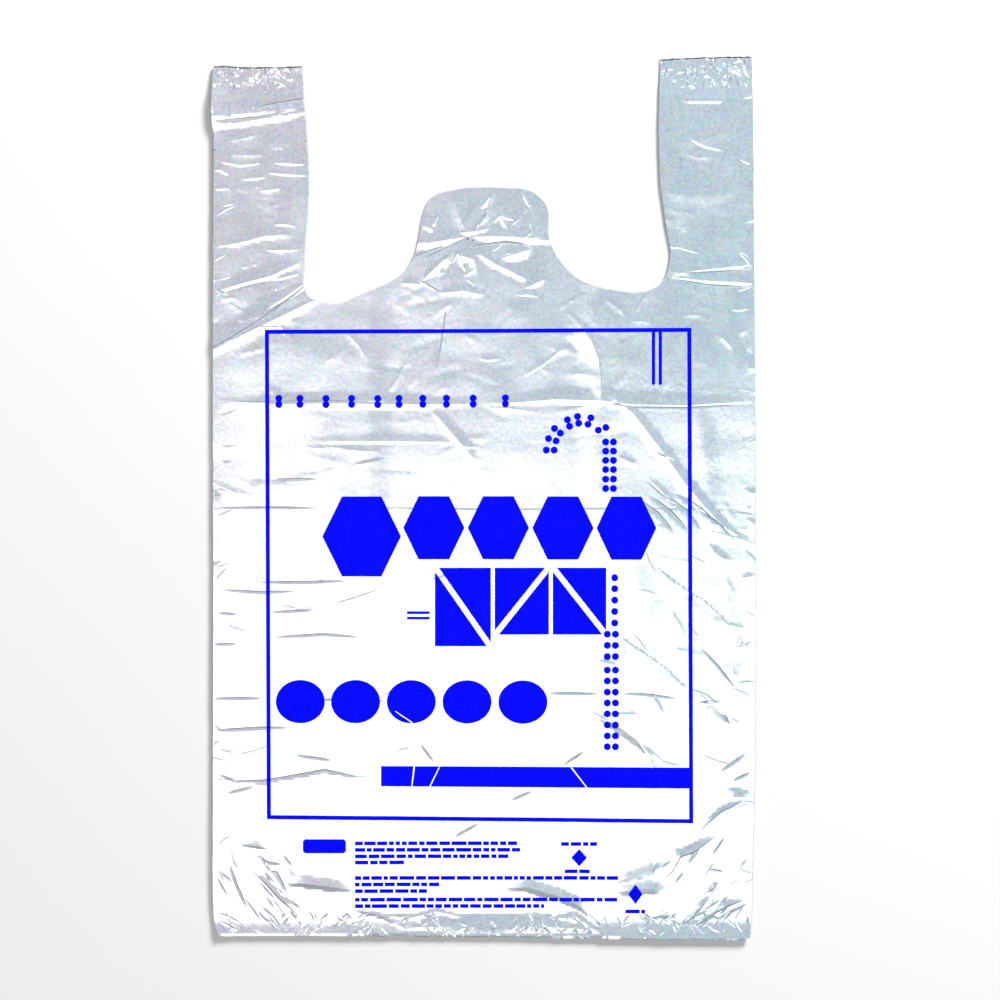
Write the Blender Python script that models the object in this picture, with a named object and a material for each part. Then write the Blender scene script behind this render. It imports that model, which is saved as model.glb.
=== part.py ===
# A plastic carrier bag lying flat, handles towards +Y, front panel up. Metres, +Z up.
# The bag is one blown tube of film, pleated at both sides, welded shut across the bottom and across
# the handle ends, with the mouth cut through every layer between the handles.
import math

import bmesh
import bpy

# The bag as it lies
bag_width = 0.300
bag_length = 0.490
gusset_depth = 0.085  # how far each side pleat reaches in

# The film, thickened so that every layer is a solid
film = 0.0004
layer_gap = 0.0005  # space between neighbouring layers
pressed_gap = 0.0002  # the same space where a weld holds the layers together
arc_steps = 8  # straight pieces in each fold's half circle, an even number

# The welds across the bottom and the handle ends
weld_width = 0.008
loosening = 0.045  # length over which the layers part, away from a weld
loosening_steps = 5

# Where the front panel comes down from the pleats onto the back panel
drop_clearance = 0.005
drop_width = 0.022

# The mouth: half of its outline, from a handle down to the floor of the cut-out and up round the tab
handle_width = 0.0515
cutout_floor = 0.354
cutout_corner = 0.009
slope_start = 0.076
slope_bend = 0.030
tab_foot = (0.0405, 0.371)
tab_foot_bend = 0.014
tab_top = (0.0355, 0.417)
tab_corner = 0.012
corner_steps = 8

# The hole where the bag hung on a pin
pin_hole = (-0.0085, 0.3895)
pin_radius = 0.0012
pin_sides = 12

cutter_reach = 0.010  # how far a cutter runs past the film


def fold(centre, radius, start, end):
    """A fold's middle line as points with the normals that face the air outside, its angles in degrees."""
    outward = 1 if end > start else -1
    points = []
    for step in range(arc_steps + 1):
        angle = math.radians(start + (end - start) * step / arc_steps)
        across, up = math.cos(angle), math.sin(angle)
        place = (centre[0] + radius * across, centre[1] + radius * up)
        points.append((place, (outward * across, outward * up)))
    return points


def front_drop(top, bottom):
    """The front panel's middle line from the pleat's level down to the middle's, outer end first."""
    start = bag_width / 2 - gusset_depth - drop_clearance
    points = []
    for step in range(arc_steps + 1):
        turn = math.pi * step / arc_steps
        height = bottom + (top - bottom) * (1 + math.cos(turn)) / 2
        slope = (top - bottom) * math.sin(turn) / 2 * math.pi / drop_width
        length = math.hypot(1, slope)
        place = (start - drop_width * step / arc_steps, height)
        points.append((place, (-slope / length, 1 / length)))
    return points


def middle_line(gap):
    """The film's middle line all the way round the section, from the right half of the back panel."""
    pitch = film + gap
    levels = [film / 2 + pitch * layer for layer in range(4)]
    side = bag_width / 2 - film / 2 - pitch / 2
    inside = bag_width / 2 - gusset_depth + film / 2 + pitch / 2
    right = fold((side, (levels[0] + levels[1]) / 2), pitch / 2, -90, 90)
    right += fold((inside, (levels[1] + levels[2]) / 2), pitch / 2, 270, 90)
    right += fold((side, (levels[2] + levels[3]) / 2), pitch / 2, -90, 90)
    right += front_drop(levels[3], levels[1])
    left = [((-x, z), (-across, up)) for (x, z), (across, up) in reversed(right)]
    return right + left


def skin(gap, side):
    """The section's outline half a film outside the middle line, or inside it where side is -1."""
    return [
        (x + side * across * film / 2, z + side * up * film / 2)
        for (x, z), (across, up) in middle_line(gap)
    ]


def pleat_mouths():
    """Which points of a skin line each side's pleat, from one fold's outermost point to the next one's."""
    first = arc_steps // 2
    last = first + 2 * (arc_steps + 1)
    count = 8 * (arc_steps + 1)
    return range(first, last + 1), range(count - 1 - last, count - first)


def gap_at(y):
    """The space between layers, which grows from a weld's to the body's away from either end."""
    share = (min(y, bag_length - y) - weld_width) / loosening
    share = min(max(share, 0), 1)
    return pressed_gap + (layer_gap - pressed_gap) * share * share * (3 - 2 * share)


def wall(mesh, near, far):
    """Faces between two rings that have as many points as each other."""
    for i in range(len(near)):
        mesh.faces.new((near[i - 1], near[i], far[i], far[i - 1]))


def film_tube():
    """The pleated tube, with solid welds at both ends that close its inside and its pleats."""
    part_way = [weld_width + loosening * step / loosening_steps for step in range(loosening_steps + 1)]
    stations = part_way + [bag_length - y for y in reversed(part_way)]
    mesh = bmesh.new()
    skins = {
        side: [[mesh.verts.new((x, y, z)) for x, z in skin(gap_at(y), side)] for y in stations]
        for side in (1, -1)
    }
    for rows in skins.values():
        for near, far in zip(rows, rows[1:]):
            wall(mesh, near, far)
    pleated = [set(mouth[1:-1]) for mouth in pleat_mouths()]
    for outer, inner, y in ((skins[1][0], skins[-1][0], 0), (skins[1][-1], skins[-1][-1], bag_length)):
        mesh.faces.new(inner)
        for mouth in pleat_mouths():
            mesh.faces.new([outer[i] for i in mouth])
        edge = [vert for i, vert in enumerate(outer) if not any(i in inside for inside in pleated)]
        end = [mesh.verts.new((vert.co.x, y, vert.co.z)) for vert in edge]
        wall(mesh, edge, end)
        mesh.faces.new(end)
    cavity = {face for row in skins[-1] for vert in row for face in vert.link_faces}
    return finished("carrier_bag", mesh, cavity)


def finished(name, mesh, cavity=()):
    """An object with this mesh, whose Y runs from the bag's bottom edge. A cavity's faces look inwards."""
    bmesh.ops.recalc_face_normals(mesh, faces=mesh.faces)
    bmesh.ops.reverse_faces(mesh, faces=list(cavity))
    data = bpy.data.meshes.new(name)
    mesh.to_mesh(data)
    mesh.free()
    made = bpy.data.objects.new(name, data)
    bpy.context.scene.collection.objects.link(made)
    made.location.y = -bag_length / 2
    return made


def rounded(corners):
    """An outline from (x, y, radius) corners, each corner with a radius turned into an arc."""
    outline = []
    for i, (x, y, radius) in enumerate(corners):
        if not radius:
            outline.append((x, y))
            continue
        before, after = corners[i - 1], corners[(i + 1) % len(corners)]
        into = math.atan2(y - before[1], x - before[0])
        out = math.atan2(after[1] - y, after[0] - x)
        turn = (out - into + math.pi) % (2 * math.pi) - math.pi
        back = radius * math.tan(abs(turn) / 2)
        side = math.copysign(1, turn)
        centre_x = x - back * math.cos(into) - side * radius * math.sin(into)
        centre_y = y - back * math.sin(into) + side * radius * math.cos(into)
        for step in range(corner_steps + 1):
            angle = into + turn * step / corner_steps - side * math.pi / 2
            outline.append((centre_x + radius * math.cos(angle), centre_y + radius * math.sin(angle)))
    return outline


def cut_through(bag, name, outline):
    """Cuts this outline, in plan, through every layer of the bag."""
    mesh = bmesh.new()
    floor = [mesh.verts.new((x, y, -cutter_reach)) for x, y in outline]
    roof = [mesh.verts.new((x, y, cutter_reach)) for x, y in outline]
    wall(mesh, floor, roof)
    mesh.faces.new(floor)
    mesh.faces.new(roof)
    cutter = finished(name, mesh)
    cutter.hide_render = True
    cutter.display_type = "WIRE"
    cut = bag.modifiers.new(name, "BOOLEAN")
    cut.operation = "DIFFERENCE"
    cut.solver = "EXACT"
    cut.object = cutter


def mouth():
    """The cut between the handles, which dips to either side of the tab."""
    inner_edge = bag_width / 2 - handle_width
    right = [
        (inner_edge, bag_length + cutter_reach, 0),
        (inner_edge, cutout_floor, cutout_corner),
        (slope_start, cutout_floor, slope_bend),
        (*tab_foot, tab_foot_bend),
        (*tab_top, tab_corner),
    ]
    left = [(-x, y, radius) for x, y, radius in reversed(right)]
    return rounded(right + left)


def pin():
    """The outline of the pin that the bag hung on."""
    turns = [2 * math.pi * step / pin_sides for step in range(pin_sides)]
    x, y = pin_hole
    return [(x + pin_radius * math.cos(turn), y + pin_radius * math.sin(turn)) for turn in turns]


def white_film():
    material = bpy.data.materials.new("white_film")
    material.use_nodes = True
    shader = material.node_tree.nodes["Principled BSDF"]
    shader.inputs["Base Color"].default_value = (0.80, 0.81, 0.83, 1)
    shader.inputs["Roughness"].default_value = 0.35
    shader.inputs["Metallic"].default_value = 0
    return material


for existing in list(bpy.data.objects):
    bpy.data.objects.remove(existing)

bag = film_tube()
bag.data.materials.append(white_film())
cut_through(bag, "mouth", mouth())
cut_through(bag, "pin_hole", pin())
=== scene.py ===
import math
import random

import bpy
import numpy as np
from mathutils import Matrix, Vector, noise
from mathutils.geometry import delaunay_2d_cdt


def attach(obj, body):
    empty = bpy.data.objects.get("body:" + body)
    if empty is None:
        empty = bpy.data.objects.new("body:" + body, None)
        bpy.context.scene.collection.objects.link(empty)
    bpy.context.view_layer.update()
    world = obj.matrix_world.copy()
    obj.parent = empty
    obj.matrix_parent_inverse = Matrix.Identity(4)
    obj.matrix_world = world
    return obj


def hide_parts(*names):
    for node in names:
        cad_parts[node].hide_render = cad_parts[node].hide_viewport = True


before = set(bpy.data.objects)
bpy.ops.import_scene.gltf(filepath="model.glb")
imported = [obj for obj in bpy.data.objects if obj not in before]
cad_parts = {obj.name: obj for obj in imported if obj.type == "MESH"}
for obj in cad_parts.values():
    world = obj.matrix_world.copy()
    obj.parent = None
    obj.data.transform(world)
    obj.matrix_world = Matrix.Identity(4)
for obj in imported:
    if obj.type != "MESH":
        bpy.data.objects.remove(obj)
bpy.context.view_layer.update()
mm = 0.001  # every length below is in millimetres until a mesh is made

# ---------------------------------------------------------------- the cut of the bag

cut = {
    "leftSide": [(-146.5, -242.6), (-148.6, -237), (-150, -222), (-150, -165), (-149.8, -60), (-150, 50),
                 (-149.8, 140), (-149.4, 196), (-149.4, 202), (-150.6, 208), (-150.8, 220), (-150.4, 232),
                 (-149.6, 239.5)],
    "leftTop": [(-149.6, 239.5), (-135, 239.2), (-120, 238.8), (-100.6, 239.6)],
    "mouth": [(-100.6, 239.6), (-99.4, 223), (-98.1, 207), (-96.6, 180), (-97.3, 159), (-98.6, 143),
              (-99.4, 127), (-99.6, 117.5), (-96.5, 112.2), (-90.7, 109.1), (-82.4, 108), (-75.8, 109.6),
              (-64.1, 115), (-51.3, 120.7), (-44.1, 126), (-39.1, 134.6), (-36.5, 144.1), (-34.2, 156.8),
              (-31.2, 165), (-25, 169.4), (-15.8, 171.6), (-7.5, 172.7), (8, 172.9), (23.6, 171.7),
              (31.2, 167.6), (36.0, 160.2), (36.4, 147), (38.6, 139), (44.4, 130), (53.8, 121.6),
              (68, 116.8), (84.6, 114.4), (95, 117), (100.8, 123.5), (103.4, 134.6), (102.3, 143.5),
              (100.4, 155), (97.6, 178.5), (97, 208), (97.6, 243.2)],
    "rightTop": [(97.6, 243.2), (115, 244.2), (132, 244.6), (148.6, 244.9)],
    "rightSide": [(148.6, 244.9), (149.2, 210), (150, 110), (150.6, 27), (150.8, -56), (150.4, -140),
                  (149.2, -195), (148.4, -232), (147.6, -243.2)],
    "bottom": [(147.6, -243.2), (138, -244.9), (70, -244.2), (9, -243.2), (-46, -242.8), (-102, -242.4),
               (-146.5, -242.6)],
    "step": 1.6,
    "waver": 0.22,
    "punctures": [],
}


def splineRun(points, step, waver, seed):
    p = np.array(points, float)
    p = np.vstack([2 * p[0] - p[1], p, 2 * p[-1] - p[-2]])
    out = []
    for i in range(1, len(p) - 2):
        t = np.linspace(0, 1, 24, endpoint=False)[:, None]
        a, b, c, d = p[i - 1], p[i], p[i + 1], p[i + 2]
        out.append(0.5 * (2 * b + (c - a) * t + (2 * a - 5 * b + 4 * c - d) * t**2 + (3 * b - a - 3 * c + d) * t**3))
    line = np.vstack(out + [p[-2]])
    run = np.concatenate([[0], np.cumsum(np.linalg.norm(np.diff(line, axis=0), axis=1))])
    places = np.linspace(0, run[-1], max(2, int(run[-1] / step)) + 1)
    line = np.stack([np.interp(places, run, line[:, 0]), np.interp(places, run, line[:, 1])], 1)
    along = np.gradient(line, axis=0)
    across = np.stack([-along[:, 1], along[:, 0]], 1) / np.linalg.norm(along, axis=1)[:, None]
    shake = [noise.noise(Vector((s * 0.09, seed, 0))) + 0.5 * noise.noise(Vector((s * 0.31, seed, 5))) for s in places]
    fade = np.minimum(1, np.minimum(places, run[-1] - places) / 6)
    return line + across * (np.array(shake) * waver * fade)[:, None]


def outlineOf(c):
    runs = ["leftSide", "leftTop", "mouth", "rightTop", "rightSide", "bottom"]
    wavers = [1, 2.2, 1, 2.2, 1.2, 2.0]
    return np.vstack([splineRun(c[r], c["step"], c["waver"] * w, i)[:-1] for i, (r, w) in enumerate(zip(runs, wavers))])


# ---------------------------------------------------------------- folds and creases
# Each is (points, rise, left width, right width), with left and right as seen going along it.

creases = {
    "tab": [
        ([(5.8, 170.1), (2, 165.5), (-1.9, 160.7)], 0.55, 2.6, 0.7),
        ([(-2.5, 165.1), (-7, 159), (-11.4, 153.5)], 0.45, 0.7, 2.8),
        ([(-44, 140.4), (-30, 141.8), (-15.9, 144.2), (-8, 145.4)], 0.5, 4.5, 3.2),
        ([(-9, 144.9), (4, 145.6), (20, 145), (37, 143.6), (44, 143)], 0.55, 4.5, 4.2),
        ([(-8.6, 139.2), (0.7, 140.9), (12.1, 142.2), (21.1, 141.3), (27.4, 138.8)], -0.6, 0.75, 0.8),
        ([(-9.2, 144.8), (-15.9, 141.3), (-24.8, 136.8), (-33.4, 132.8)], -0.62, 0.8, 0.75),
        ([(-22, 140.2), (-33.1, 136.2), (-41, 133.2)], -0.5, 0.7, 0.7),
        ([(-15.6, 137), (-22.3, 133), (-28.6, 127.9), (-34.6, 120.6)], -0.5, 0.7, 0.8),
        ([(-17.2, 147), (-4, 148.2), (8.3, 150.8)], 0.34, 1.8, 2.2),
        ([(-36.3, 120.6), (-23.5, 114.2)], -0.36, 0.7, 0.7),
        ([(-13, 151.6), (-5.7, 161), (-1, 165)], -0.5, 0.7, 0.7),
        ([(-16.4, 137), (-25, 129.6), (-33.6, 121.6)], 0.5, 3.8, 3.2),
        ([(-5.4, 137.2), (7, 129.9), (24.5, 121.2)], 0.42, 3.5, 2.6),
        ([(9.8, 133.2), (28.4, 139)], 0.5, 3, 4.4),
        ([(-15.8, 136), (-4.2, 132)], 0.3, 3, 2.0),
        ([(5.8, 152.9), (8.6, 156.8), (16.9, 154.6)], 0.32, 2.4, 1.4),
        ([(-34.1, 151.8), (-27.5, 148.6)], 0.3, 2.4, 1.6),
        ([(23.0, 116.6), (34.7, 122)], 0.3, 3, 2.0),
        ([(-46.3, 119.4), (-31.9, 118.8)], 0.28, 3, 1.8),
        ([(-24.7, 114), (-10.8, 115.2), (0.8, 112.6)], 0.3, 3.4, 1.8),
        ([(-20.8, 108.5), (-24.7, 81.3), (-26.4, 72.5)], -0.3, 0.9, 2.6),
        ([(-8.6, 144.6), (0.3, 156.3), (6, 170)], 0.3, 1.2, 2.6),
        ([(-8.6, 144.6), (-14, 158), (-17, 170)], 0.26, 4, 4),
        ([(-8.6, 144.6), (-3, 124), (-6, 108)], 0.3, 5, 4),
        ([(2, 159.6), (-3, 151.6)], -0.6, 0.7, 0.7),
    ],
    "leftHandle": [
        ([(-128.4, 216.4), (-114, 219.2), (-95, 222.4)], -0.6, 0.8, 0.9),
        ([(-164, 211.0), (-140, 212.8), (-120, 214.6), (-90, 217.8)], 0.62, 2.6, 6.6),
        ([(-160, 205.8), (-136, 208.4), (-118, 211.2), (-92, 215.6)], 0.34, 2.4, 3.4),
        ([(-150, 209.2), (-128, 211.0), (-106, 214.6)], -0.3, 0.6, 0.7),
        ([(-122, 216.2), (-108, 217.6), (-92, 220.4)], 0.3, 1.6, 2.4),
        ([(-116.3, 186.2), (-99.1, 185.2)], 0.22, 2.4, 1.4),
        ([(-119.6, 180.6), (-98.0, 179)], 0.22, 2.4, 1.3),
        ([(-134.0, 177), (-120.7, 178.2)], 0.2, 2.0, 1.3),
        ([(-149.0, 171.5), (-140.7, 172)], 0.2, 2, 1.3),
        ([(-149.0, 139.4), (-134.0, 142), (-120.7, 145.6), (-104, 146.5)], 0.3, 5, 1.7),
        ([(-149.0, 114.6), (-132.9, 119.6), (-117.4, 123.6), (-100.2, 131.8)], 0.42, 7, 2.2),
        ([(-149.0, 112), (-132.9, 117), (-117.4, 121)], -0.24, 0.6, 1.0),
        ([(-117.4, 121.2), (-102.4, 124.6)], 0.24, 2.2, 1.3),
        ([(-96, 119.6), (-115.3, 106.4), (-126.8, 98), (-139.5, 90.3), (-168, 73.8)], 0.8, 1.3, 8),
        ([(-96, 117.8), (-115.3, 104.9), (-126.8, 96.6), (-139.5, 88.9), (-168, 72.4)], -0.5, 0.75, 1.3),
        ([(-86, 114), (-94.9, 109.5), (-108.9, 102.6), (-122.9, 96.0), (-138.2, 88.3), (-166, 73.6)], 0.6, 4.2, 2.6),
        ([(-99, 119.6), (-109, 112.4), (-121, 104.6)], 0.3, 1.2, 1.0),
        ([(-137, 236), (-142, 200), (-139, 150), (-141, 100)], 0.28, 9, 9),
        ([(-112, 236), (-114, 180), (-111, 130)], 0.24, 10, 10),
    ],
    "rightHandle": [
        ([(109.1, 220.4), (135.1, 220.2)], 0.32, 4, 2.0),
        ([(102.6, 124), (120, 126.6), (149.5, 129.8)], 0.4, 5.5, 2.2),
        ([(102.6, 123), (120, 121), (149.5, 119.4)], 0.36, 2.6, 2.4),
        ([(104, 122), (124, 118.4), (149.5, 117)], -0.28, 0.6, 0.8),
        ([(110, 125), (130, 125.6), (149.5, 127.2)], -0.22, 0.6, 0.8),
        ([(100, 196), (118, 199), (136, 203), (149.5, 204)], 0.2, 9, 5),
        ([(99, 170), (122, 168), (149.5, 172)], 0.2, 8, 6),
        ([(112, 238), (109, 190), (112, 140)], 0.26, 9, 9),
        ([(136, 238), (138, 180), (135, 120), (139, 70)], 0.3, 8, 9),
    ],
    "across": [
        ([(-150.1, 52.6), (-118, 52.2), (-85.2, 52.8), (-40, 52.2), (-1.9, 52.5)], 0.42, 6, 3.4),
        ([(-150.1, 53.9), (-118, 53.5), (-85.2, 54.1), (-52, 53.6)], -0.24, 0.6, 0.6),
        ([(-1.9, 52.5), (20, 53.4), (39.1, 55), (64.7, 54.4), (83.0, 52.2), (112.9, 51.7), (150, 54)], 0.4, 7, 2.4),
        ([(64.7, 53), (83.0, 50.6), (112.9, 50.2), (150, 52.5)], -0.2, 0.6, 0.8),
        ([(-150.1, -5.2), (-120, -4.9), (-91.9, -5.3)], -0.3, 0.7, 1.0),
        ([(-91.9, -5.3), (-60, -4.6), (10, -5.4), (80, -4.8), (150, -5.6)], -0.1, 0.9, 1.2),
        ([(-101.8, 31.4), (-60, 31.9), (-1.9, 31.2)], 0.16, 4, 1.6),
        ([(-101.8, 28.6), (-57.4, 25.8)], 0.16, 3, 1.4),
        ([(-73.0, 19.2), (-53.6, 23.1)], -0.2, 0.6, 1.2),
        ([(-117.9, 10.6), (-91.9, 11.1)], -0.2, 0.6, 1.2),
        ([(-125.7, -46.3), (-98.0, -46.3), (-75.2, -45.5)], -0.26, 0.7, 1.2),
        ([(-145.7, -50.5), (-122.9, -51.9), (-104.1, -51.3)], -0.28, 0.7, 1.2),
        ([(-147.4, -63.5), (-136.8, -64.1)], -0.26, 0.7, 1.0),
        ([(-117.9, -63.0), (-93.0, -61.8)], -0.24, 0.7, 1.0),
        ([(-116.8, -76.8), (-88.0, -75.2), (-68.0, -76.8)], -0.26, 0.7, 1.2),
        ([(-150.1, -80.7), (-136.8, -80.7)], -0.26, 0.7, 1.0),
        ([(-150.1, -110.7), (-122.9, -110.7)], -0.3, 0.7, 1.2),
        ([(-88.5, -111.4), (-83.5, -111.4)], -0.26, 0.7, 1.0),
        ([(35.8, -107.9), (63.5, -108.2)], -0.28, 0.7, 1.1),
        ([(76.9, -108.2), (88.5, -108.5), (106.8, -110.7)], -0.3, 0.7, 1.1),
        ([(-150.1, -123.5), (-146.2, -128.4), (-122.9, -127.1), (-107.9, -126.8)], -0.34, 0.8, 1.4),
        ([(-104.1, -142.3), (-84.1, -145.1)], -0.3, 0.7, 1.2),
        ([(-148.5, -155.1), (-137.4, -156.8), (-121.8, -156.5), (-109.6, -154.5), (-88.0, -150.6),
          (-71.9, -154.0), (-61.3, -154.8)], -0.36, 0.8, 1.6),
        ([(-142.4, -163.4), (-127.4, -159.5)], -0.26, 0.7, 1.2),
    ],
    "rightPanel": [
        ([(46.3, 104.1), (54, 95), (59.7, 87.4), (63.5, 77.5), (64.5, 70)], 0.7, 2.6, 9),
        ([(64.7, 77), (65, 54)], 0.45, 0.9, 6),
        ([(64.7, 61.4), (83.0, 47.2), (100.7, 24), (111.8, 8.4), (120.2, -1.6), (131.3, -14.2), (151, -27.8)],
         0.72, 4.6, 5.0),
        ([(-29.1, 49.4), (-16, 34.4), (-2.5, 18.6)], 0.42, 5, 3.4),
        ([(86, 0), (97, -8), (106, -19)], -0.3, 0.6, 2.0),
        ([(92, 2), (104, -7), (114, -18)], -0.34, 0.6, 2.2),
        ([(99, 3), (112, -6), (121, -17)], -0.3, 0.6, 2.0),
        ([(107, 3), (120, -5), (130, -14)], -0.3, 0.6, 2.0),
        ([(118, -6), (128, -12), (140, -24)], -0.34, 0.7, 2.4),
        ([(95.7, -38.0), (104, -46), (111.8, -52.4), (120.2, -57.4), (135.7, -70.2), (144.6, -71.8)], 0.8, 1.8, 4.4),
        ([(76.3, -77.4), (90.2, -88.5), (100.7, -95.7), (112.9, -106.2)], 0.7, 1.6, 4.0),
        ([(119.0, -107.9), (131.3, -118.5), (141.8, -124.6)], 0.7, 1.4, 3.6),
        ([(119.0, -112.9), (131.3, -112.4)], -0.3, 0.7, 0.9),
        ([(120.2, -82.4), (130, -93), (139.6, -105.1)], -0.34, 0.7, 1.2),
        ([(59.7, -118.5), (76.3, -127.3), (90.2, -137.9), (100.7, -146.8)], 0.66, 1.4, 3.6),
        ([(44.1, -147.9), (55.8, -140.1)], -0.3, 0.7, 1.0),
        ([(-35.2, -136.2), (-27.5, -146.2)], -0.3, 0.7, 1.0),
        ([(131.3, -151.2), (145.7, -141.2)], -0.36, 0.8, 1.4),
        ([(138.5, -156.2), (147.9, -151.8)], -0.34, 0.8, 1.2),
        ([(135, -161.6), (148.5, -164)], 0.5, 2.0, 3.0),
        ([(15.3, -167.3), (26.9, -162.3)], -0.3, 0.7, 1.0),
        ([(118, 60), (124, 10), (128, -30)], 0.3, 9, 9),
        ([(134, -30), (138, -90), (141, -150)], 0.34, 6, 7),
        ([(80, -20), (92, -70), (88, -130)], 0.26, 9, 9),
    ],
    "foot": [
        ([(-16.4, -187.8), (-2.5, -180.1)], -0.34, 0.8, 1.0),
        ([(-141.0, -202.2), (-136.5, -215.0), (-130.6, -228.0)], -0.5, 0.6, 1.4),
        ([(-128.6, -206.2), (-120.7, -213.1), (-113.7, -221.0), (-106.8, -227.0), (-101.8, -232.4)], 0.55, 2.8, 0.8),
        ([(-119.7, -206.2), (-114.7, -207.1), (-108.8, -218.9)], -0.45, 0.6, 1.6),
        ([(-111, -213.6), (-101.8, -213.2), (-88.0, -215), (-71.0, -217)], 0.72, 5, 2.4),
        ([(-135.1, -191.6), (-127.4, -192.4), (-119.6, -194)], 0.36, 3, 1.4),
        ([(-125.7, -197.8), (-119.6, -201.7), (-111.8, -202.8)], -0.4, 0.6, 1.4),
        ([(-146.5, -229.5), (-139.6, -232.8), (-132.6, -236.9)], -0.6, 0.6, 1.0),
        ([(-143.5, -230.5), (-138.6, -235.4)], -0.6, 0.6, 0.9),
        ([(-146.8, -234), (-137.6, -238.6)], -0.55, 0.7, 1.0),
        ([(-72.1, -227.8), (-58.2, -230.9), (-42.5, -238.9)], 0.4, 1.6, 1.6),
        ([(-48.6, -238.3), (-24.1, -237.2), (-1.9, -237.8), (31.4, -237.2), (64.7, -239.4)], 0.95, 7.6, 3.4),
        ([(-60, -231), (-40, -232.6), (-26, -229), (-8, -233)], 0.3, 2.0, 2.2),
        ([(8, -216.4), (24, -215.6), (42.5, -221), (53.6, -226.0), (64.7, -238.0)], 0.7, 5, 3),
        ([(99.6, -210.6), (104.1, -207.3), (109.1, -198.4), (116.8, -195.6), (129.0, -186.7)], 0.8, 4.6, 0.8),
        ([(69.1, -213.4), (86.9, -209.0), (98.5, -204.4), (105, -201)], 0.5, 4.6, 3),
        ([(69.1, -219), (86.9, -216.6), (104.6, -217.0)], 0.55, 5, 3),
        ([(106.3, -212.8), (110.7, -207.3)], -0.4, 0.6, 0.9),
        ([(127.2, -197.0), (133.1, -188.1)], -0.5, 0.6, 0.9),
        ([(124.9, -205.6), (133.1, -206.7)], -0.4, 0.6, 0.9),
        ([(122.7, -218.5), (126.4, -217.0), (130.1, -212.6)], 0.45, 2.2, 0.9),
        ([(109.3, -237.1), (113.8, -234.1), (119.7, -227.5), (124.2, -222.2), (126.3, -221.7)], 0.75, 2.9, 0.8),
        ([(113.8, -237.2), (121.3, -234.5), (127.9, -229.5), (135.1, -225.6), (145.0, -222.2)], 0.6, 3.2, 1.0),
        ([(132.4, -234.8), (136.8, -229.7), (142.0, -226.7), (146.5, -224.1)], -0.45, 0.6, 0.9),
        ([(90.0, -233.1), (98.9, -230.9), (107.9, -231.5)], 0.5, 4.4, 2.2),
        ([(38, -232.5), (53.6, -233.0), (58.8, -237.6), (64.7, -241.0)], 0.5, 3.4, 2.0),
        ([(119.3, -184.3), (124.9, -179.1), (131.3, -173.4), (144.6, -167.3)], 0.5, 2.4, 0.9),
        ([(145.6, -238.5), (146.4, -232)], -0.7, 0.7, 1.0),
    ],
}

crumple = {  # small seeded creases: (count, x range, y range, heading, spread, length, rise, width)
    "leftSeal": (64, (-149, -101), (226, 239), 60, 90, (3, 10), (0.12, 0.40), (0.6, 1.9)),
    "rightSeal": (70, (99, 148), (229, 244), 60, 90, (3, 11), (0.12, 0.42), (0.6, 1.9)),
    "footSealUp": (110, (-146, 146), (-241, -231), 45, 24, (3, 9), (0.08, 0.24), (0.4, 0.9)),
    "footSealDown": (110, (-146, 146), (-241, -231), 135, 24, (3, 9), (0.08, 0.24), (0.4, 0.9)),
    "footLeft": (22, (-147, -104), (-238, -200), 128, 16, (6, 16), (0.10, 0.26), (0.5, 1.1)),
    "footRight": (24, (92, 147), (-238, -190), 42, 20, (6, 16), (0.10, 0.28), (0.5, 1.3)),
    "tabStar": (24, (-30, 30), (118, 168), 60, 90, (5, 15), (0.10, 0.24), (0.7, 2.4)),
    "leftFoldEdge": (40, (-149, -141), (-225, 236), 10, 40, (5, 13), (0.08, 0.2), (0.7, 2.2)),
    "rightFoldEdge": (40, (142, 150), (-225, 240), 170, 40, (5, 13), (0.08, 0.2), (0.7, 2.2)),
    "leftHandleField": (34, (-148, -102), (90, 225), 8, 14, (12, 34), (0.06, 0.15), (0.8, 2.6)),
    "rightHandleField": (24, (102, 148), (90, 225), 172, 14, (10, 28), (0.05, 0.12), (0.8, 2.4)),
    "upperField": (60, (-140, 140), (55, 120), 5, 60, (10, 30), (0.05, 0.13), (1.2, 4.5)),
    "lowerField": (80, (-140, 140), (-200, 50), 0, 24, (10, 34), (0.05, 0.12), (0.9, 3.0)),
    "rightGusset": (40, (68, 146), (-150, 30), 140, 28, (10, 28), (0.07, 0.2), (0.8, 3.0)),
}

swell = {"tall": 0.55, "wide": 0.011, "fine": 0.10, "fineWide": 0.05}


def crumples(c):
    rng = random.Random(41)
    out = []
    for count, xs, ys, heading, spread, length, rise, width in c.values():
        for _ in range(count):
            x, y = rng.uniform(*xs), rng.uniform(*ys)
            turn = math.radians(heading + rng.uniform(-spread, spread))
            half = rng.uniform(*length) / 2
            bend = rng.uniform(-0.16, 0.16) * half
            dx, dy = math.cos(turn) * half, math.sin(turn) * half
            line = [(x - dx, y - dy), (x - dy / half * bend, y + dx / half * bend), (x + dx, y + dy)]
            up = rng.uniform(*rise) * rng.choice((1, 1, -0.6))
            sides = [rng.uniform(*width), rng.uniform(*width)]
            if rng.random() < 0.5:
                sides[rng.randrange(2)] = width[0]
            out.append((line, up, *sides))
    return out


allCreases = [c for group in creases.values() for c in group] + crumples(crumple)


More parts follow.
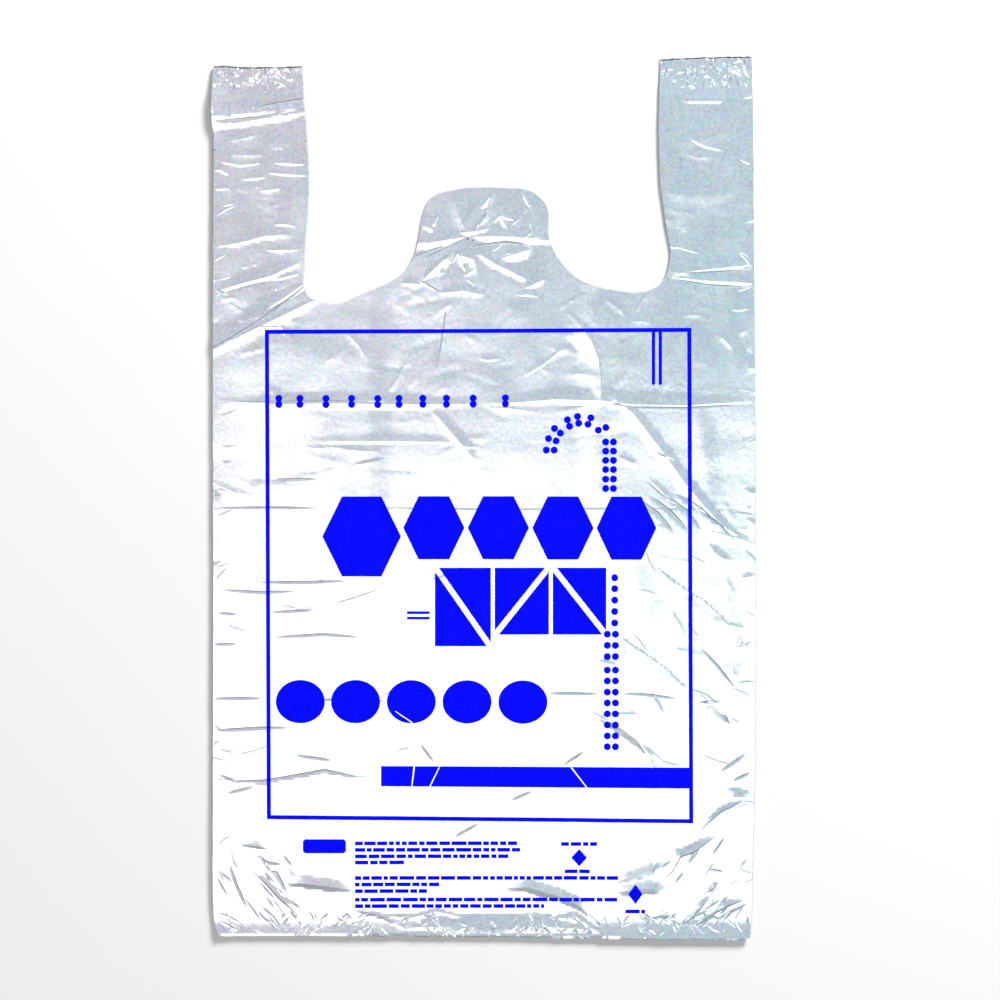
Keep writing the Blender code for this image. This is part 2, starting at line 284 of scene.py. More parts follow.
def ridgeHeight(x, y, crease):
    """Height of one crease, a roof whose two slopes have their own widths."""
    points, rise, left, right = crease
    p = np.array(points, float)
    pad = max(left, right)
    lo, hi = p.min(0) - pad, p.max(0) + pad
    near = np.flatnonzero((x > lo[0]) & (x < hi[0]) & (y > lo[1]) & (y < hi[1]))
    if not len(near):
        return near, np.zeros(0)
    px, py = x[near], y[near]
    lengths = np.linalg.norm(np.diff(p, axis=0), axis=1)
    starts = np.concatenate([[0], np.cumsum(lengths)])
    best, side, place = np.full(len(near), 1e9), np.zeros(len(near)), np.zeros(len(near))
    for i, (a, b) in enumerate(zip(p[:-1], p[1:])):
        d = (b - a) / lengths[i]
        t = np.clip((px - a[0]) * d[0] + (py - a[1]) * d[1], 0, lengths[i])
        ox, oy = px - a[0] - t * d[0], py - a[1] - t * d[1]
        away = np.hypot(ox, oy)
        closer = away < best
        best = np.where(closer, away, best)
        side = np.where(closer, d[0] * oy - d[1] * ox, side)
        place = np.where(closer, starts[i] + t, place)
    total = starts[-1]
    fade = np.clip(np.minimum(place, total - place) / (0.3 * total), 0, 1)
    width = np.where(side >= 0, left, right) * (0.35 + 0.65 * fade)
    return near, rise * fade * np.clip(1 - best / width, 0, 1)


def crumpled(x, y):
    """Height of the creases and swells over the flat bag, never below it."""
    h = np.zeros(len(x))
    for crease in allCreases:
        near, up = ridgeHeight(x, y, crease)
        h[near] += up
    s = swell
    for i in range(len(x)):
        v = Vector((x[i] * s["wide"], y[i] * s["wide"] * 1.25, 3.3))
        w = Vector((x[i] * s["fineWide"], y[i] * s["fineWide"] * 1.4, 8.1))
        h[i] += s["tall"] * noise.noise(v) + s["fine"] * noise.noise(w)
    base = 0.62
    h = h + base
    return np.where(h > 0.15, h, 0.15 * np.exp((h - 0.15) / 0.15))


# ---------------------------------------------------------------- how the layers lie on each other

stack = {"pleatInner": 65.0, "settle": 15.0, "weld": 8.0, "weldFade": 13.0, "foldSteps": 5}


def pressed(y, x):
    top = np.where(np.abs(x) > 90, 240.5 + 2.2 * (x > 0), 400)
    clear = np.minimum(y + 243.5, top - y) - stack["weld"]
    t = np.clip(clear / stack["weldFade"], 0, 1)
    return 0.12 + 0.88 * t * t * (3 - 2 * t)


def pleated(x):
    t = np.clip((np.abs(x) - (stack["pleatInner"] - stack["settle"])) / stack["settle"], 0, 1)
    return t * t * (3 - 2 * t)


def lifted(x, y):
    """How far the free edges curl up off the table, all layers together."""
    foot = np.clip((-220 - y) / 24, 0, 1)
    left = np.clip((-132 - x) / 18, 0, 1)
    right = np.clip((x - 138) / 12, 0, 1)
    bulge = np.exp(-(((y - 219) / 13) ** 2))
    return 2.4 * foot**2 + (0.8 + 1.6 * bulge) * left**2 + 0.25 * right**2


def layerHeight(layer, x, y, w):
    p, g = pressed(y, x), pleated(x)
    up = lifted(x, y)
    if layer == "back":
        return up + 0.06 + 0.20 * w
    if layer == "lower":
        return up + 0.12 + 0.34 * p + 0.40 * w
    if layer == "upper":
        return up + 0.18 + 0.74 * p + 0.66 * w
    return up + g * (0.26 + 1.16 * p) + (1 - g) * (0.22 + 0.34 * p) + w  # front


# ---------------------------------------------------------------- the print, plain geometry in one ink

layout = {
    "frame": [(-121.3, 93.6), (115.2, 94.7), (116.3, -180.1), (-120.2, -177.8)],
    "frameLine": 2.3,
    "dotRow": [(-113.5, 54.1), (-101.8, 54.1), (-87.4, 54), (-73.2, 54.1), (-58.7, 54), (-46.9, 54.1),
               (-33.7, 54.2), (-20.6, 54.2), (-5.8, 54.3), (12.1, 54.4)],
    "dotRowGap": 3.4,
    "dot": (2.02, 2.02, 12),
    "arch": [(34.8, 26.9), (39.1, 26.9), (36.0, 33.3), (40.2, 32.0), (39.3, 38.9), (42.6, 36.3), (46.5, 43.7),
             (47.7, 40.1), (52.1, 45.6), (52.7, 41.8), (59.5, 44.8), (57.9, 41.2), (67.8, 39.4), (63.6, 37.9)],
    "archFoot": [(67.7, 31.4), (67.7, 26.3), (67.7, 21.2), (67.7, 16.1), (67.7, 10.8), (67.7, 5.6)],
    "archFootGap": 4.3,
    "singles": [(72.7, -43.9), (72.7, -50.0), (72.7, -56.3), (72.7, -62.6), (72.7, -69.0)],
    "doubles": [(68.6, -75.2), (68.6, -81.4), (68.6, -87.6), (68.6, -95.1), (68.6, -101.1), (68.6, -107.3),
                (68.6, -113.3), (68.6, -119.4), (68.6, -125.5), (68.6, -131.6), (68.6, -137.6)],
    "doublesGap": 4.5,
    "discs": [(-101.6, -112.6), (-71.0, -112.6), (-40.1, -112.7), (-9.2, -112.8), (21.8, -112.9)],
    "disc": (13.6, 12.0, 56),
    "uprights": [(94.2, 1.85), (98.0, 1.85)],
    "uprightEnds": (94, 63),
    "bar": [(-56.9, -148.4), (115.6, -149.2), (115.7, -160.8), (-56.9, -159.6)],
    "hexagons": [(-67.6, -21.0, 21.8, 25.6), (-27.6, -16.2, 17.0, 20.2), (8.2, -16.2, 17.0, 20.2),
                 (44.0, -16.3, 17.0, 20.2), (79.2, -16.4, 16.6, 20.2)],
    "squares": [(-27.0, -38.4, 31.0, 43.5), (6.2, -38.4, 30.0, 37), (38.4, -38.4, 29.6, 37)],
    "squareGap": 2.2,
    "dashes": [(-42.5, -29.9, -63.3), (-42.5, -29.9, -66.3)],
    "block": (-100.2, -188.9, -76.3, -196.7),
    "rules": [(-71.3, 18.6, -191.2), (-71.3, 20.3, -194.8), (-71.3, 14.7, -198.4), (-71.3, -43.6, -201.8),
              (-71.3, 74.6, -210.4), (-71.3, -23.0, -214.0), (-71.3, -29.7, -217.7),
              (-71.3, 74.1, -222.4), (-71.3, 33.6, -226.0), (43, 63, -191.6), (45, 61, -206.8), (78.6, 89.6, -229)],
    "ruleTall": 2.1,
    "lozenges": [(53.0, -199.2, 4.4, 4.8), (84.2, -219.4, 4.0, 5.6)],
    # gaps in the ink along creases, painted highlights where the creases cross the print
    "inkGlintGaps": [[(-49.1, -117.6), (-48.8, -118.4), (-39.7, -124.6), (-39.4, -124.1)],
                  [(-38.8, -148), (-38.0, -148), (-39.6, -160.6), (-40.2, -160.6)],
                  [(-30.6, -160.6), (-29.9, -160.8), (-23.8, -148), (-24.3, -148)],
                  [(48.0, -149), (48.8, -148.8), (57.7, -160.4), (57.1, -160.6)]],
}


def patternTree():
    """Sets one flat many-cornered figure on each point, with its sizes as named inputs."""
    tree = bpy.data.node_groups.new("printFigures", "GeometryNodeTree")
    face = tree.interface
    face.new_socket("Geometry", in_out="INPUT", socket_type="NodeSocketGeometry")
    ids = {}
    for name, kind in (("Half Width", "Float"), ("Half Height", "Float"), ("Corners", "Int"), ("Ink", "Material")):
        ids[name] = face.new_socket(name, in_out="INPUT", socket_type="NodeSocket" + kind).identifier
    face.new_socket("Geometry", in_out="OUTPUT", socket_type="NodeSocketGeometry")
    n, link = tree.nodes.new, tree.links.new
    given, result = n("NodeGroupInput"), n("NodeGroupOutput")
    circle = n("GeometryNodeMeshCircle")
    circle.fill_type = "NGON"
    circle.inputs["Radius"].default_value = 1
    points, place = n("GeometryNodeMeshToPoints"), n("GeometryNodeInstanceOnPoints")
    size, real, ink = n("ShaderNodeCombineXYZ"), n("GeometryNodeRealizeInstances"), n("GeometryNodeSetMaterial")
    size.inputs["Z"].default_value = 1
    link(given.outputs["Geometry"], points.inputs["Mesh"])
    link(points.outputs["Points"], place.inputs["Points"])
    link(given.outputs["Corners"], circle.inputs["Vertices"])
    link(circle.outputs["Mesh"], place.inputs["Instance"])
    link(given.outputs["Half Width"], size.inputs["X"])
    link(given.outputs["Half Height"], size.inputs["Y"])
    link(size.outputs["Vector"], place.inputs["Scale"])
    link(place.outputs["Instances"], real.inputs["Geometry"])
    link(real.outputs["Geometry"], ink.inputs["Geometry"])
    link(given.outputs["Ink"], ink.inputs["Material"])
    link(ink.outputs["Geometry"], result.inputs["Geometry"])
    return tree, ids


def figuresAt(tree, ids, places, halfWide, halfTall, corners, ink):
    """Outlines of the figures that the tree sets on these places."""
    mesh = bpy.data.meshes.new("places")
    mesh.from_pydata([(x, y, 0) for x, y in places], [], [])
    obj = bpy.data.objects.new("places", mesh)
    bpy.context.collection.objects.link(obj)
    mod = obj.modifiers.new("figures", "NODES")
    mod.node_group = tree
    for name, value in (("Half Width", halfWide), ("Half Height", halfTall), ("Corners", corners), ("Ink", ink)):
        mod[ids[name]] = value
    made = bpy.data.meshes.new_from_object(obj.evaluated_get(bpy.context.evaluated_depsgraph_get()))
    shapes = [[tuple(made.vertices[v].co.xy) for v in f.vertices] for f in made.polygons]
    bpy.data.objects.remove(obj)
    bpy.data.meshes.remove(made)
    return shapes


def rect(x0, y0, x1, y1):
    return [(x0, y0), (x1, y0), (x1, y1), (x0, y1)]


def printShapes(p, ink):
    tree, ids = patternTree()
    shapes = []
    outer = np.array(p["frame"])
    inner = outer + np.array([(1, -1), (-1, -1), (-1, 1), (1, 1)]) * p["frameLine"]
    for i in range(4):
        j = (i + 1) % 4
        shapes.append([tuple(outer[i]), tuple(outer[j]), tuple(inner[j]), tuple(inner[i])])
    small = []
    for x, y in p["dotRow"]:
        small += [(x, y + p["dotRowGap"] / 2 - 0.2), (x, y - p["dotRowGap"] / 2 - 0.2)]
    small += p["arch"]
    for x, y in p["archFoot"]:
        small += [(x, y), (x + p["archFootGap"], y)]
    small += p["singles"]
    for x, y in p["doubles"]:
        small += [(x, y), (x + p["doublesGap"], y)]
    shapes += figuresAt(tree, ids, small, *p["dot"], ink)
    shapes += figuresAt(tree, ids, p["discs"], *p["disc"], ink)
    for x, y, w, h in p["hexagons"]:
        shapes += figuresAt(tree, ids, [(x, y)], w, h, 6, ink)
    for x, y, w, h in p["lozenges"]:
        shapes += figuresAt(tree, ids, [(x, y)], w, h, 4, ink)
    for x, wide in p["uprights"]:
        top, low = p["uprightEnds"]
        shapes.append([(x - wide / 2, top - 1), (x - wide / 2, low + 0.6), (x - wide / 5, low), (x + wide / 5, low),
                       (x + wide / 2, low + 0.6), (x + wide / 2, top - 1)])
    shapes.append(p["bar"])
    for i, (x, y, w, h) in enumerate(p["squares"]):
        g = p["squareGap"]
        if i % 2:
            shapes.append([(x, y), (x + w - g, y), (x, y - h + g)])
            shapes.append([(x + w, y - g), (x + w, y - h), (x + g, y - h)])
        else:
            shapes.append([(x + g, y), (x + w, y), (x + w, y - h + g)])
            shapes.append([(x, y - g), (x, y - h), (x + w - g, y - h)])
    for x0, x1, y in p["dashes"]:
        shapes.append(rect(x0, y - 0.75, x1, y + 0.75))
    x0, y0, x1, y1 = p["block"]
    r = 1.2
    shapes.append([(x0 + r, y1), (x1 - r, y1), (x1, y1 + r), (x1, y0 - r), (x1 - r, y0), (x0 + r, y0),
                   (x0, y0 - r), (x0, y1 + r)])
    rng = random.Random(7)
    for x0, x1, y in p["rules"]:
        x = x0
        while x < x1 - 1.5:
            end = min(x1, x + rng.uniform(2.4, 8.5))
            shapes.append(rect(x, y - p["ruleTall"] / 2, end, y + p["ruleTall"] / 2))
            x = end + rng.uniform(0.7, 1.1)
    return shapes


def insideOf(shape, x, y):
    """Which of the points lie in the closed shape."""
    s = np.array(shape)
    hit = np.zeros(len(x), bool)
    for (x0, y0), (x1, y1) in zip(s, np.roll(s, -1, 0)):
        if y0 == y1:
            continue
        crosses = (y0 > y) != (y1 > y)
        hit ^= crosses & (x < (x1 - x0) * (y - y0) / (y1 - y0) + x0)
    return hit


# ---------------------------------------------------------------- laying out a sheet in plan

def finely(points, step):
    p = np.array(points, float)
    run = np.concatenate([[0], np.cumsum(np.linalg.norm(np.diff(p, axis=0), axis=1))])
    places = np.linspace(0, run[-1], max(2, round(run[-1] / step) + 1))
    return np.stack([np.interp(places, run, p[:, 0]), np.interp(places, run, p[:, 1])], 1), places / run[-1]


def besideLine(points, offset, tapered=True):
    """The line where a crease's slope ends, beside its crest."""
    p, share = finely(points, 1.3)
    d = np.gradient(p, axis=0)
    n = np.stack([-d[:, 1], d[:, 0]], 1) / np.linalg.norm(d, axis=1)[:, None]
    fade = np.clip(np.minimum(share, 1 - share) / 0.3, 0, 1) if tapered else np.ones(len(p))
    return p + n * (offset * (0.35 + 0.65 * fade))[:, None]


def planMesh(outline, spacing, lines=(), shapes=(), seed=3):
    """Triangles over the outline, with edges along the given lines and shapes."""
    rng = np.random.default_rng(seed)
    lo, hi = outline.min(0), outline.max(0)
    rows = int((hi[1] - lo[1]) / (spacing * 0.87)) + 1
    columns = int((hi[0] - lo[0]) / spacing) + 1
    gy, gx = np.mgrid[0:rows, 0:columns]
    x = lo[0] + (gx + 0.5 * (gy % 2)) * spacing
    y = lo[1] + gy * spacing * 0.87
    grid = np.stack([x.ravel(), y.ravel()], 1) + rng.uniform(-0.12, 0.12, (rows * columns, 2)) * spacing
    grid = grid[insideOf(outline, grid[:, 0], grid[:, 1])]
    keep = np.ones(len(grid), bool)
    loops = [(np.array(s, float), True) for s in shapes] + [(outline, True)] + [(np.array(l, float), False) for l in lines]
    for pts, closedLoop in loops:
        ends = zip(pts, np.roll(pts, -1, 0)) if closedLoop else zip(pts[:-1], pts[1:])
        for a, b in ends:
            length = np.hypot(*(b - a))
            if length < 1e-6:
                continue
            low, high = np.minimum(a, b) - spacing, np.maximum(a, b) + spacing
            near = np.flatnonzero(((grid > low) & (grid < high)).all(1))
            if not len(near):
                continue
            q = grid[near] - a
            t = np.clip(q @ (b - a) / length**2, 0, 1)
            keep[near] &= np.hypot(*(q - t[:, None] * (b - a)).T) > 0.32 * spacing
    points, edges = [tuple(p) for p in grid[keep]], []
    for pts, closedLoop in loops:
        first = len(points)
        fine = []
        ring = list(pts) + ([pts[0]] if closedLoop else [])
        for a, b in zip(ring[:-1], ring[1:]):
            parts = max(1, round(np.hypot(*(b - a)) / (spacing * 1.5)))
            fine += [a + (b - a) * i / parts for i in range(parts)]
        if not closedLoop:
            fine.append(ring[-1])
        points += [tuple(p) for p in fine]
        edges += [(first + i, first + i + 1) for i in range(len(fine) - 1)]
        if closedLoop:
            edges.append((first + len(fine) - 1, first))
    made = delaunay_2d_cdt([Vector(p) for p in points], edges, [], 1, 1e-4, False)
    plan = np.array([tuple(v) for v in made[0]])
    faces = np.array([f for f in made[2] if len(f) == 3])
    a, b, c = (plan[faces[:, i]] for i in range(3))
    area = (b[:, 0] - a[:, 0]) * (c[:, 1] - a[:, 1]) - (b[:, 1] - a[:, 1]) * (c[:, 0] - a[:, 0])
    faces[area < 0] = faces[area < 0][:, ::-1]
    middle = (a + b + c) / 3
    inside = insideOf(outline, middle[:, 0], middle[:, 1]) & (np.abs(area) > 1e-6)
    for hx, hy, r in cut["punctures"]:
        inside &= np.hypot(middle[:, 0] - hx, middle[:, 1] - hy) > r
    faces = faces[inside]
    used = np.unique(faces)
    index = np.full(len(plan), -1)
    index[used] = np.arange(len(used))
    return plan[used], index[faces]


def rimEdges(faces):
    """Edges that only one face has, in that face's own direction."""
    ends = np.concatenate([faces[:, [0, 1]], faces[:, [1, 2]], faces[:, [2, 0]]])
    key = np.sort(ends, axis=1)
    _, first, count = np.unique(key, axis=0, return_index=True, return_counts=True)
    return ends[first[count == 1]]


def roundFold(points, faces, edges, lowerHeight, outward):
    """Adds a rounded strip from these edges down to the next layer."""
    steps = stack["foldSteps"]
    points, faces = list(map(tuple, points)), [tuple(f) for f in faces]
    ring = {}
    for v in np.unique(edges):
        x, y, z = points[v]
        zLow = lowerHeight[v]
        mid, r = (z + zLow) / 2, (z - zLow) / 2
        column = [int(v)]
        for k in range(1, steps + 1):
            turn = math.pi / 2 - math.pi * k / steps
            points.append((x + outward(x) * abs(r) * math.cos(turn), y, mid + r * math.sin(turn)))
            column.append(len(points) - 1)
        ring[int(v)] = column
    for a, b in edges:
        for k in range(steps):
            p, q, r, s = ring[int(a)][k], ring[int(b)][k], ring[int(b)][k + 1], ring[int(a)][k + 1]
            faces += [(q, p, s), (q, s, r)]
    return points, faces


def meshObject(name, points, faces, material, sharp):
    mesh = bpy.data.meshes.new(name)
    mesh.from_pydata([(x * mm, y * mm, z * mm) for x, y, z in points], [], [tuple(map(int, f)) for f in faces])
    mesh.materials.append(material)
    mesh.validate()
    mesh.shade_smooth()
    mesh.set_sharp_from_angle(angle=math.radians(sharp))
    obj = bpy.data.objects.new(name, mesh)
    bpy.context.collection.objects.link(obj)
    print(name, len(mesh.polygons), "faces")
    return obj


# ---------------------------------------------------------------- finishes

film = {"greyViolet": (0.475, 0.49, 0.555), "greyCyan": (0.375, 0.485, 0.55), "fleck": 0.25, "gloss": (0.13, 0.21),
        "specular": 1.0, "ior": 1.95, "grain": 0.5}
ink = {"deep": (0.0, 0.0, 0.74), "light": (0.001, 0.003, 0.94), "rough": (0.5, 0.7), "specular": 0.03}


def newMaterial(name):
    m = bpy.data.materials.new(name)
    m.use_nodes = True
    nodes = m.node_tree.nodes
    return m, nodes, m.node_tree.links.new, nodes["Principled BSDF"]


def noiseNode(nodes, link, scale, detail, stretch=(1, 1, 1)):
    where, turn, spots = nodes.new("ShaderNodeTexCoord"), nodes.new("ShaderNodeMapping"), nodes.new("ShaderNodeTexNoise")
    turn.inputs["Scale"].default_value = stretch
    spots.inputs["Scale"].default_value = scale
    spots.inputs["Detail"].default_value = detail
    link(where.outputs["Object"], turn.inputs["Vector"])
    link(turn.outputs["Vector"], spots.inputs["Vector"])
    return spots.outputs["Fac"]


def ramp(nodes, link, source, low, high, start=0.3, end=0.7):
    r = nodes.new("ShaderNodeValToRGB")
    r.color_ramp.elements[0].position, r.color_ramp.elements[1].position = start, end
    r.color_ramp.elements[0].color = (*low, 1)
    r.color_ramp.elements[1].color = (*high, 1)
    link(source, r.inputs["Fac"])
    return r.outputs["Color"]


def span(nodes, link, source, low, high):
    r = nodes.new("ShaderNodeMapRange")
    r.inputs["From Min"].default_value, r.inputs["From Max"].default_value = 0.3, 0.7
    r.inputs["To Min"].default_value, r.inputs["To Max"].default_value = low, high
    link(source, r.inputs["Value"])
    return r.outputs["Result"]


def filmFinish(name, f):
    """Thin cloudy film: two slow tints, fine coloured flecks over them, and an even gloss with a fine grain."""
    m, nodes, link, shader = newMaterial(name)
    place, parts, drift = nodes.new("ShaderNodeTexCoord"), nodes.new("ShaderNodeSeparateXYZ"), nodes.new("ShaderNodeMath")
    drift.operation = "MULTIPLY_ADD"
    drift.inputs[1].default_value = 2.6
    link(place.outputs["Object"], parts.inputs["Vector"])
    link(parts.outputs["X"], drift.inputs[0])
    link(noiseNode(nodes, link, 7, 2), drift.inputs[2])
    tint = ramp(nodes, link, drift.outputs["Value"], f["greyViolet"], f["greyCyan"], 0.15, 0.85)
    fleck = nodes.new("ShaderNodeTexNoise")
    fleck.inputs["Scale"].default_value = 560
    fleck.inputs["Detail"].default_value = 2.5
    where = nodes.new("ShaderNodeTexCoord")
    link(where.outputs["Object"], fleck.inputs["Vector"])
    spread = nodes.new("ShaderNodeVectorMath")
    spread.operation = "MULTIPLY_ADD"
    spread.inputs[1].default_value = (4.6 * f["fleck"], 4.0 * f["fleck"], 4.2 * f["fleck"])
    spread.inputs[2].default_value = (1 - 2.3 * f["fleck"], 1 - 2.0 * f["fleck"], 1 - 2.1 * f["fleck"])
    link(fleck.outputs["Color"], spread.inputs[0])
    tone = nodes.new("ShaderNodeMix")
    tone.data_type, tone.blend_type = "RGBA", "MULTIPLY"
    tone.inputs["Factor"].default_value = 1
    link(tint, tone.inputs["A"])
    link(spread.outputs["Vector"], tone.inputs["B"])
    link(tone.outputs["Result"], shader.inputs["Base Color"])
    link(span(nodes, link, noiseNode(nodes, link, 60, 4), *f["gloss"]), shader.inputs["Roughness"])
    shader.inputs["Specular IOR Level"].default_value = f["specular"]
    shader.inputs["IOR"].default_value = f["ior"]
    grain = noiseNode(nodes, link, 420, 4, (1, 0.75, 1))
    bump = nodes.new("ShaderNodeBump")
    bump.inputs["Strength"].default_value = f["grain"]
    bump.inputs["Distance"].default_value = 0.0001
    link(grain, bump.inputs["Height"])
    link(bump.outputs["Normal"], shader.inputs["Normal"])
    return m


def inkFinish(name, k):
    m, nodes, link, shader = newMaterial(name)
    wear = noiseNode(nodes, link, 300, 4)
    link(ramp(nodes, link, wear, k["deep"], k["light"]), shader.inputs["Base Color"])
    link(span(nodes, link, wear, *k["rough"]), shader.inputs["Roughness"])
    shader.inputs["Specular IOR Level"].default_value = k["specular"]
    return m


whiteFilm = filmFinish("whiteFilm", film)
blueInk = inkFinish("blueInk", ink)
# near-black finish: on the handle-end beads it is a painted shadow line, on the specks it is dirt and the painted shade
# in the tab's puncture
dirtAndPaintedShade = inkFinish("dirtAndPaintedShade", {"deep": (0.02, 0.02, 0.015), "light": (0.14, 0.14, 0.13),
                                          "rough": (0.3, 0.5), "specular": 0.5})

# ---------------------------------------------------------------- the front of the bag

outline = outlineOf(cut)
shapes = printShapes(layout, blueInk)
lines = []
for points, rise, left, right in allCreases:
    if abs(rise) < 0.1:
        continue
    lines.append(finely(points, 1.3)[0] if min(left, right) < 1.5 else points)
    for offset in (left, -right):
        if abs(offset) < 1.5:
            lines.append(besideLine(points, offset))


def withinCut(line):
    p = np.array(line, float)
    return insideOf(outline, p[:, 0], p[:, 1])


kept = []
for line in lines:
    inside = np.flatnonzero(withinCut(line))
    if len(inside) > 1 and inside[-1] - inside[0] == len(inside) - 1:
        kept.append(np.array(line, float)[inside])
mouthRun = splineRun(cut["mouth"], cut["step"], cut["waver"], 2)
rolled = besideLine(mouthRun, -0.5, tapered=False)
kept.append(rolled[3:-3])
plan, faces = planMesh(outline, 1.55, kept, shapes + layout["inkGlintGaps"])
height = crumpled(plan[:, 0], plan[:, 1])
frontHeight = layerHeight("front", plan[:, 0], plan[:, 1], height)
rim = np.unique(rimEdges(faces))
free = rim[np.abs(plan[rim, 0]) < 146]  # the cut edges, where the layers cling together
below = np.where(np.abs(plan[free, 0]) > stack["pleatInner"], layerHeight("upper", *plan[free].T, height[free]),
                 layerHeight("back", *plan[free].T, height[free]))
frontHeight[free] = below + 0.06
front = np.column_stack([plan, frontHeight])
print("front laid out,", len(faces), "faces")


def sideEdges(plan, faces):
    rim = rimEdges(faces)
    x, y = plan[:, 0], plan[:, 1]
    out = (np.abs(x) > 146) & (y > -242) & (y < np.where(x < 0, 239.3, 244.4))
    return rim[out[rim].all(1)]


def sign(x):
    return 1 if x > 0 else -1


edges = sideEdges(plan, faces)
points, allFaces = roundFold(front, faces, edges, layerHeight("upper", plan[:, 0], plan[:, 1], height), sign)
frontFilm = meshObject("front_film", points, allFaces, whiteFilm, 4)

# ---------------------------------------------------------------- ink laid on the front

middle = plan[faces].mean(1)
inked = np.zeros(len(faces), bool)
for shape in shapes:
    inked |= insideOf(shape, middle[:, 0], middle[:, 1])
# the gaps leave bare film showing as painted crease highlights across the ink
for shape in layout["inkGlintGaps"]:
    inked &= ~insideOf(shape, middle[:, 0], middle[:, 1])
inkFaces = faces[inked]
used = np.unique(inkFaces)
index = np.full(len(plan), -1)
index[used] = np.arange(len(used))
inkPoints = front[used] + np.array([0, 0, 0.06])
printInk = meshObject("print_ink", inkPoints, index[inkFaces], blueInk, 4)

# ---------------------------------------------------------------- dark bead on the handle ends, a painted shadow line; dark specks in the film, dirt and painted shade

# a raised bead along each handle's top edge, coloured dark as a painted shadow line
bead = {"radius": 0.56, "sides": 8, "step": 0.8, "runs": ["leftTop", "rightTop"]}
# dark specks: dirt in the film, but the four round the tab's puncture paint the shade seen in the hole
dirtAndHoleShade = {"places": [(11.4, 76.9, 0.5), (-103.5, -69.1, 0.5), (75.4, 12.6, 0.5), (-149.0, 193.4, 0.7),
                     (26.2, 84.5, 0.4), (-8.9, 144.3, 1.0), (-6.0, 143.2, 0.7), (-12.6, 145.6, 0.6),
                     (0.9, 157.5, 0.8), (-149.2, 142.8, 0.5), (-98.8, 198.6, 0.5)]}


def heightNear(x, y):
    return front[np.argmin((plan[:, 0] - x) ** 2 + (plan[:, 1] - y) ** 2), 2]


def sealShadowBeads(b):
    points, faces = [], []
    for i, name in enumerate(b["runs"]):
        run = splineRun(cut[name], b["step"], cut["waver"] * 2.2, 1 if name == "leftTop" else 3)
        along = np.gradient(run, axis=0)
        along /= np.linalg.norm(along, axis=1)[:, None]
        first = len(points)
        for j, (x, y) in enumerate(run):
            r = b["radius"] * (0.62 + 0.5 * noise.noise(Vector((x * 0.35, 4.0 + i, 0))))
            r *= min(1, 0.3 + 0.5 * min(j, len(run) - 1 - j))
            z = heightNear(x, y)
            for k in range(b["sides"]):
                turn = 2 * math.pi * k / b["sides"]
                points.append((x - along[j][1] * r * math.cos(turn), y + along[j][0] * r * math.cos(turn),
                               z + r * math.sin(turn)))
        n, rings = b["sides"], len(run)
        for j in range(rings - 1):
            for k in range(n):
                a, c = first + j * n + k, first + j * n + (k + 1) % n
                faces += [(a, c, c + n), (a, c + n, a + n)]
        for ring, turned in ((0, False), (rings - 1, True)):
            cap = [first + ring * n + k for k in range(n)]
            for k in range(1, n - 1):
                faces.append((cap[0], cap[k + 1], cap[k]) if not turned else (cap[0], cap[k], cap[k + 1]))
    return meshObject("seal_shadow_beads", points, faces, dirtAndPaintedShade, 60)


# low dark cones on the front film: dirt specks, and painted shade at the puncture
def dirtAndHoleShadeSpecks(k):
    points, faces = [], []
    for x, y, size in k["places"]:
        z, first = heightNear(x, y), len(points)
        for i in range(7):
            turn = 2 * math.pi * i / 7
            r = size * (0.7 + 0.3 * math.sin(turn * 2 + x))
            points.append((x + r * math.cos(turn), y + r * math.sin(turn), z + 0.02))
        points.append((x, y, z + 0.16))
        faces += [(first + i, first + (i + 1) % 7, first + 7) for i in range(7)]
    return meshObject("film_dirt_and_hole_shade", points, faces, dirtAndPaintedShade, 60)


sealShadowBead, dirtAndHoleShadeBits = sealShadowBeads(bead), dirtAndHoleShadeSpecks(dirtAndHoleShade)

# ---------------------------------------------------------------- back and side pleats

plan, faces = planMesh(outline, 3.4, [])
height = crumpled(plan[:, 0], plan[:, 1])
backHeight = layerHeight("back", plan[:, 0], plan[:, 1], height)
lowHeight = layerHeight("lower", plan[:, 0], plan[:, 1], height)
edges = sideEdges(plan, faces)
points, allFaces = roundFold(np.column_stack([plan, backHeight]), faces, edges, lowHeight, sign)
backFilm = meshObject("back_film", points, [f[::-1] for f in allFaces], whiteFilm, 4)


def pleatPiece(side):
    inner = stack["pleatInner"] * side
    ring = [tuple(p) for p in outline]
    clipped = []
    for a, b in zip(ring, ring[1:] + ring[:1]):
        inA, inB = a[0] * side >= abs(inner), b[0] * side >= abs(inner)
        if inA:
            clipped.append(a)
        if inA != inB:
            t = (inner - a[0]) / (b[0] - a[0])
            clipped.append((inner, a[1] + t * (b[1] - a[1])))
    plan, faces = planMesh(np.array(clipped), 3.4, [])
    height = crumpled(plan[:, 0], plan[:, 1])
    low = np.column_stack([plan, layerHeight("lower", plan[:, 0], plan[:, 1], height)])
    up = np.column_stack([plan, layerHeight("upper", plan[:, 0], plan[:, 1], height)])
    rim = rimEdges(faces)
    fold = rim[(np.abs(plan[rim][:, :, 0] - inner) < 1e-3).all(1)]
    points, upFaces = roundFold(up, faces, fold, low[:, 2], lambda x: -side)
    shift = len(points)
    points += [tuple(p) for p in low]
    allFaces = [f[::-1] for f in upFaces] + [tuple(int(i) + shift for i in f) for f in faces]
    return meshObject("left_pleat" if side < 0 else "right_pleat", points, allFaces, whiteFilm, 4)


leftPleat, rightPleat = pleatPiece(-1), pleatPiece(1)

# ---------------------------------------------------------------- each piece hangs from the root body, the CAD bag is hidden

for piece in (frontFilm, printInk, sealShadowBead, dirtAndHoleShadeBits, backFilm, leftPleat, rightPleat):
    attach(piece, "root")
    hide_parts("carrier_bag")

# ---------------------------------------------------------------- floor, lights, camera

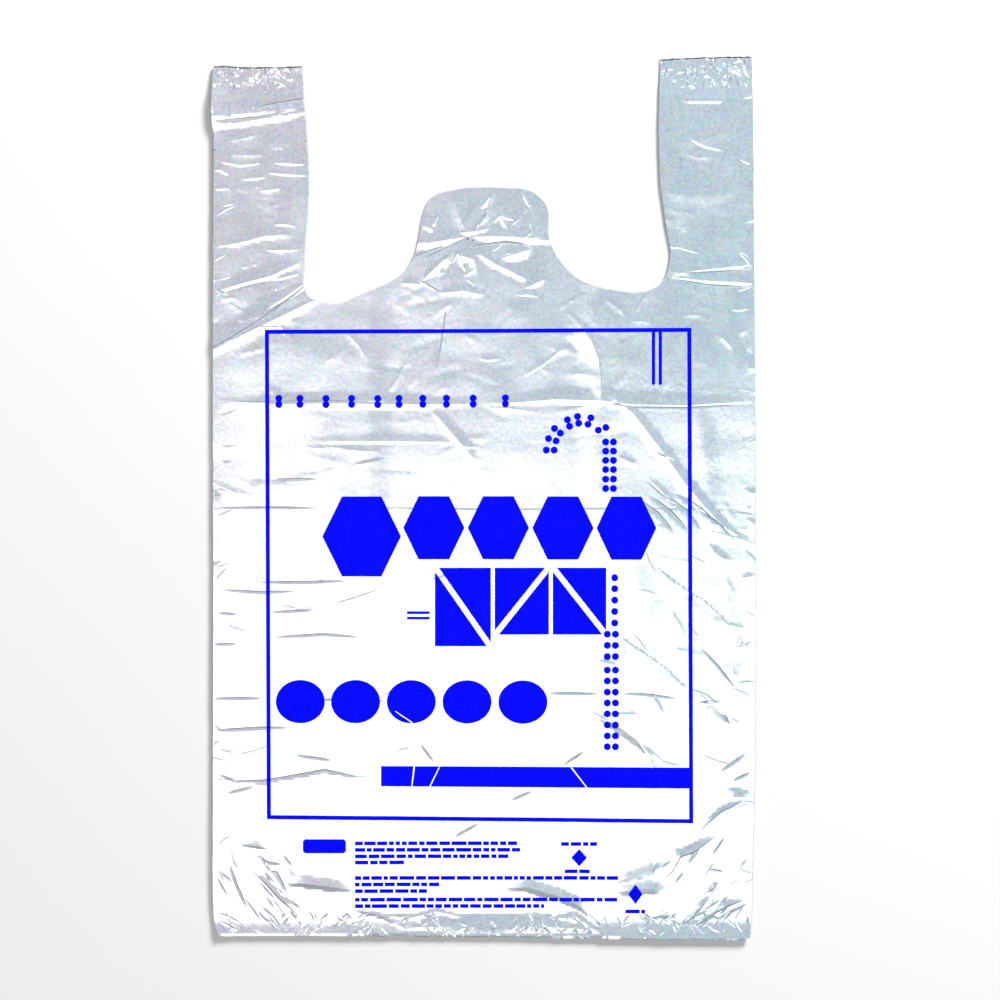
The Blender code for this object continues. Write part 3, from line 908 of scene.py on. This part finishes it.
studio = {
    "floor": (0.80, 0.80, 0.80),
    "overhead": {"at": (-0.14, -0.56, 3.0), "size": (2.6, 1.3), "turn": -12.5, "power": 43},
    "key": {"at": (1.2, 1.7, 1.25), "size": (0.8, 0.8), "power": 90},
    "sky": 0.12,
    "cameraAt": (0.0091, -0.0008, 2.2),
    "lens": 142.7,
}


def floorPiece(colour):
    mesh = bpy.data.meshes.new("floor")
    mesh.from_pydata([(-4, -4, 0), (4, -4, 0), (4, 4, 0), (-4, 4, 0)], [], [(0, 1, 2, 3)])
    obj = bpy.data.objects.new("floor", mesh)
    bpy.context.collection.objects.link(obj)
    m, nodes, link, shader = newMaterial("paleFloor")
    tone = tuple(c * 0.985 for c in colour)
    link(ramp(nodes, link, noiseNode(nodes, link, 3, 2), tone, colour), shader.inputs["Base Color"])
    shader.inputs["Roughness"].default_value = 0.9
    shader.inputs["Specular IOR Level"].default_value = 0.1
    mesh.materials.append(m)


def areaLight(name, light, aim=None):
    data = bpy.data.lights.new(name, "AREA")
    data.shape, data.energy = "RECTANGLE", light["power"]
    data.size, data.size_y = light["size"]
    obj = bpy.data.objects.new(name, data)
    bpy.context.collection.objects.link(obj)
    obj.location = light["at"]
    obj.rotation_euler = (0, 0, math.radians(light.get("turn", 0)))
    if aim:
        obj.rotation_euler = (Vector(aim) - Vector(light["at"])).to_track_quat("-Z", "Y").to_euler()
    obj.visible_camera = False


floorPiece(studio["floor"])
areaLight("overheadSoftbox", studio["overhead"])
areaLight("keySoftbox", studio["key"], aim=(0, 0, 0))
world = bpy.data.worlds.new("studio")
world.use_nodes = True
world.node_tree.nodes["Background"].inputs["Color"].default_value = (1, 1, 1, 1)
world.node_tree.nodes["Background"].inputs["Strength"].default_value = studio["sky"]
scene = bpy.context.scene
scene.world = world
scene.view_settings.view_transform = "Standard"
camera = bpy.data.objects.new("camera", bpy.data.cameras.new("camera"))
bpy.context.collection.objects.link(camera)
camera.location = studio["cameraAt"]
camera.data.lens = studio["lens"]
scene.camera = camera
